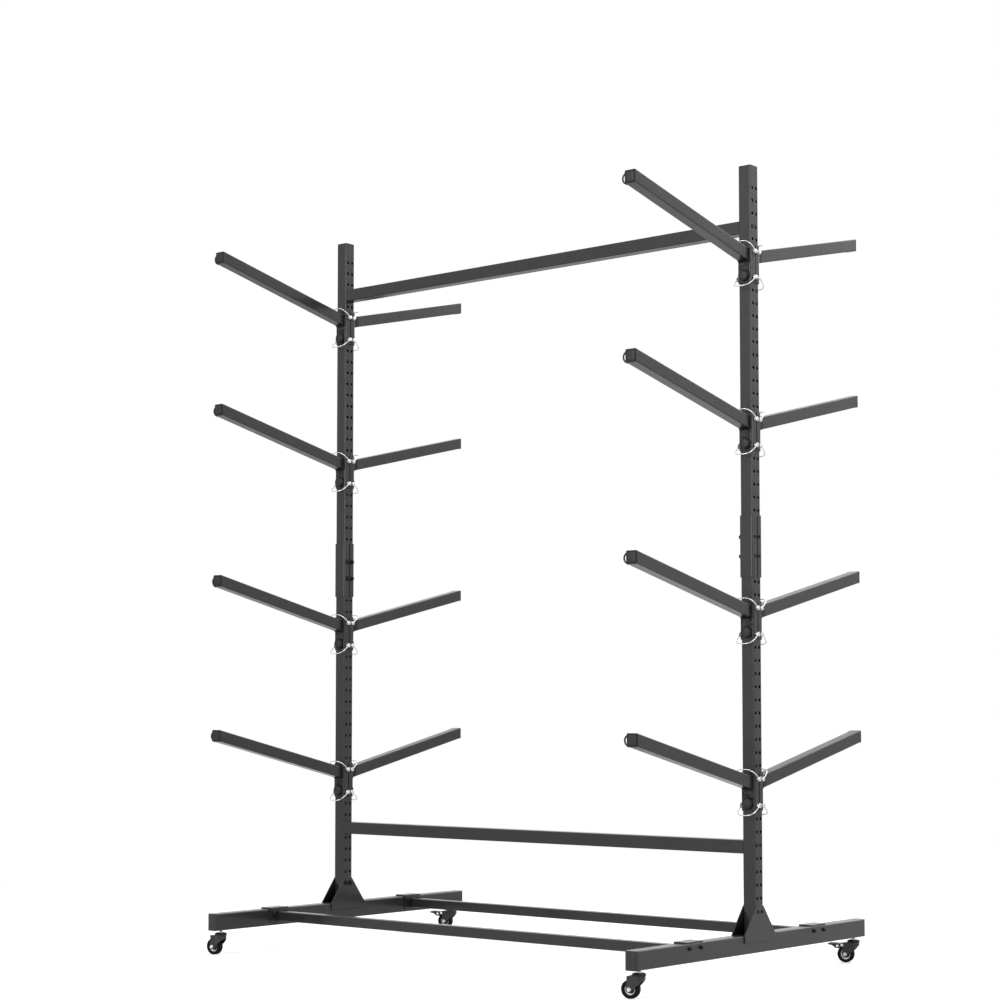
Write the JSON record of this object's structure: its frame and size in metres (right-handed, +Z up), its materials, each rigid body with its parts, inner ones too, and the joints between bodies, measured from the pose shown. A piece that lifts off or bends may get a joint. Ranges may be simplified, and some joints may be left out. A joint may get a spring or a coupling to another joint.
{
  "type": "freestanding kayak rack",
  "caption": "Freestanding rolling kayak rack: drilled posts on caster feet, tied by base rails and crossbars, with tilted arms pinned front and back at chosen heights.",
  "frame": {"origin": "on the floor, under the middle of the part's bounding box, which lies near the middle between the two posts", "axes": "+Z up; +X runs from the left post to the right post, along the boats; -Y is the front; +Y is the back, where the braked casters are"},
  "size_m": [1.7128, 1.158, 2.309],
  "materials": {
    "powder_coat": "fine-textured satin powder coat, charcoal black",
    "black_steel": "satin black coated sheet steel",
    "black_bolts": "black oxide",
    "zinc": "bright zinc plate",
    "black_plastic": "moulded, satin",
    "tyre": "black tread with a grey ring on each side"
  },
  "bodies": {
    "frame": {"foot_left": "powder_coat", "foot_right": "powder_coat", "rail_front": "powder_coat", "rail_back": "powder_coat", "crossbar_lower": "powder_coat", "crossbar_upper": "powder_coat", "post_lower_left": "powder_coat", "post_lower_right": "powder_coat", "post_upper_left": "powder_coat", "post_upper_right": "powder_coat", "splice_left": "powder_coat", "splice_right": "powder_coat", "post_caps": "black_plastic", "base_bolts": "black_bolts", "post_bolts": "black_bolts", "crossbar_bolts": "black_bolts", "caster_stems": "zinc", "caster_caps": "black_plastic"},
    "arm_front_left_1": {"arm_front_left_1": "powder_coat", "pins_front_left_1": "zinc"},
    "arm_front_left_2": {"arm_front_left_2": "powder_coat", "pins_front_left_2": "zinc"},
    "arm_front_left_3": {"arm_front_left_3": "powder_coat", "pins_front_left_3": "zinc"},
    "arm_front_left_4": {"arm_front_left_4": "powder_coat", "pins_front_left_4": "zinc"},
    "arm_front_right_1": {"arm_front_right_1": "powder_coat", "pins_front_right_1": "zinc"},
    "arm_front_right_2": {"arm_front_right_2": "powder_coat", "pins_front_right_2": "zinc"},
    "arm_front_right_3": {"arm_front_right_3": "powder_coat", "pins_front_right_3": "zinc"},
    "arm_front_right_4": {"arm_front_right_4": "powder_coat", "pins_front_right_4": "zinc"},
    "arm_back_left_1": {"arm_back_left_1": "powder_coat", "pins_back_left_1": "zinc"},
    "arm_back_left_2": {"arm_back_left_2": "powder_coat", "pins_back_left_2": "zinc"},
    "arm_back_left_3": {"arm_back_left_3": "powder_coat", "pins_back_left_3": "zinc"},
    "arm_back_left_4": {"arm_back_left_4": "powder_coat", "pins_back_left_4": "zinc"},
    "arm_back_right_1": {"arm_back_right_1": "powder_coat", "pins_back_right_1": "zinc"},
    "arm_back_right_2": {"arm_back_right_2": "powder_coat", "pins_back_right_2": "zinc"},
    "arm_back_right_3": {"arm_back_right_3": "powder_coat", "pins_back_right_3": "zinc"},
    "arm_back_right_4": {"arm_back_right_4": "powder_coat", "pins_back_right_4": "zinc"},
    "caster_front_left": {"fork_front_left": "black_steel"},
    "wheel_front_left": {"wheel_front_left": "tyre"},
    "caster_front_right": {"fork_front_right": "black_steel"},
    "wheel_front_right": {"wheel_front_right": "tyre"},
    "caster_back_left": {"fork_back_left": "black_steel"},
    "wheel_back_left": {"wheel_back_left": "tyre"},
    "pedal_left": {"pedal_left": "black_steel"},
    "caster_back_right": {"fork_back_right": "black_steel"},
    "wheel_back_right": {"wheel_back_right": "tyre"},
    "pedal_right": {"pedal_right": "black_steel"}
  },
  "joints": [
    {"name": "height_front_left_1", "type": "slide", "parent": "frame", "child": "arm_front_left_1", "axis": [0, 0, 1], "range_m": [-0.074, 0.148]},
    {"name": "height_front_left_2", "type": "slide", "parent": "frame", "child": "arm_front_left_2", "axis": [0, 0, 1], "range_m": [-0.185, 0.037]},
    {"name": "height_front_left_3", "type": "slide", "parent": "frame", "child": "arm_front_left_3", "axis": [0, 0, 1], "range_m": [-0.111, 0.111]},
    {"name": "height_front_left_4", "type": "slide", "parent": "frame", "child": "arm_front_left_4", "axis": [0, 0, 1], "range_m": [-0.222, 0]},
    {"name": "height_front_right_1", "type": "slide", "parent": "frame", "child": "arm_front_right_1", "axis": [0, 0, 1], "range_m": [-0.074, 0.148]},
    {"name": "height_front_right_2", "type": "slide", "parent": "frame", "child": "arm_front_right_2", "axis": [0, 0, 1], "range_m": [-0.185, 0.037]},
    {"name": "height_front_right_3", "type": "slide", "parent": "frame", "child": "arm_front_right_3", "axis": [0, 0, 1], "range_m": [-0.111, 0.111]},
    {"name": "height_front_right_4", "type": "slide", "parent": "frame", "child": "arm_front_right_4", "axis": [0, 0, 1], "range_m": [-0.222, 0]},
    {"name": "height_back_left_1", "type": "slide", "parent": "frame", "child": "arm_back_left_1", "axis": [0, 0, 1], "range_m": [-0.074, 0.148]},
    {"name": "height_back_left_2", "type": "slide", "parent": "frame", "child": "arm_back_left_2", "axis": [0, 0, 1], "range_m": [-0.185, 0.037]},
    {"name": "height_back_left_3", "type": "slide", "parent": "frame", "child": "arm_back_left_3", "axis": [0, 0, 1], "range_m": [-0.111, 0.111]},
    {"name": "height_back_left_4", "type": "slide", "parent": "frame", "child": "arm_back_left_4", "axis": [0, 0, 1], "range_m": [-0.222, 0]},
    {"name": "height_back_right_1", "type": "slide", "parent": "frame", "child": "arm_back_right_1", "axis": [0, 0, 1], "range_m": [-0.074, 0.148]},
    {"name": "height_back_right_2", "type": "slide", "parent": "frame", "child": "arm_back_right_2", "axis": [0, 0, 1], "range_m": [-0.185, 0.037]},
    {"name": "height_back_right_3", "type": "slide", "parent": "frame", "child": "arm_back_right_3", "axis": [0, 0, 1], "range_m": [-0.111, 0.111]},
    {"name": "height_back_right_4", "type": "slide", "parent": "frame", "child": "arm_back_right_4", "axis": [0, 0, 1], "range_m": [-0.222, 0]},
    {"name": "swivel_front_left", "type": "hinge", "parent": "frame", "child": "caster_front_left", "pos_m": [-0.78094, -0.539, 0.076], "axis": [0, 0, 1], "continuous": true},
    {"name": "roll_front_left", "type": "hinge", "parent": "caster_front_left", "child": "wheel_front_left", "pos_m": [-0.80359, -0.54299, 0.025], "axis": [0.1736, -0.9848, 0], "continuous": true},
    {"name": "swivel_front_right", "type": "hinge", "parent": "frame", "child": "caster_front_right", "pos_m": [0.82306, -0.539, 0.076], "axis": [0, 0, 1], "continuous": true},
    {"name": "roll_front_right", "type": "hinge", "parent": "caster_front_right", "child": "wheel_front_right", "pos_m": [0.80084, -0.54495, 0.025], "axis": [0.2588, -0.9659, 0], "continuous": true},
    {"name": "swivel_back_left", "type": "hinge", "parent": "frame", "child": "caster_back_left", "pos_m": [-0.78094, 0.539, 0.076], "axis": [0, 0, 1], "continuous": true},
    {"name": "roll_back_left", "type": "hinge", "parent": "caster_back_left", "child": "wheel_back_left", "pos_m": [-0.80255, 0.53113, 0.025], "axis": [0.342, -0.9397, 0], "continuous": true},
    {"name": "brake_left", "type": "hinge", "parent": "caster_back_left", "child": "pedal_left", "pos_m": [-0.81007, 0.5284, 0.0522], "axis": [-0.342, 0.9397, 0], "range_deg": [0, 12]},
    {"name": "swivel_back_right", "type": "hinge", "parent": "frame", "child": "caster_back_right", "pos_m": [0.82306, 0.539, 0.076], "axis": [0, 0, 1], "continuous": true},
    {"name": "roll_back_right", "type": "hinge", "parent": "caster_back_right", "child": "wheel_back_right", "pos_m": [0.80119, 0.53189, 0.025], "axis": [0.309, -0.9511, 0], "continuous": true},
    {"name": "brake_right", "type": "hinge", "parent": "caster_back_right", "child": "pedal_right", "pos_m": [0.79358, 0.52942, 0.0522], "axis": [-0.309, 0.9511, 0], "range_deg": [0, 12]}
  ]
}
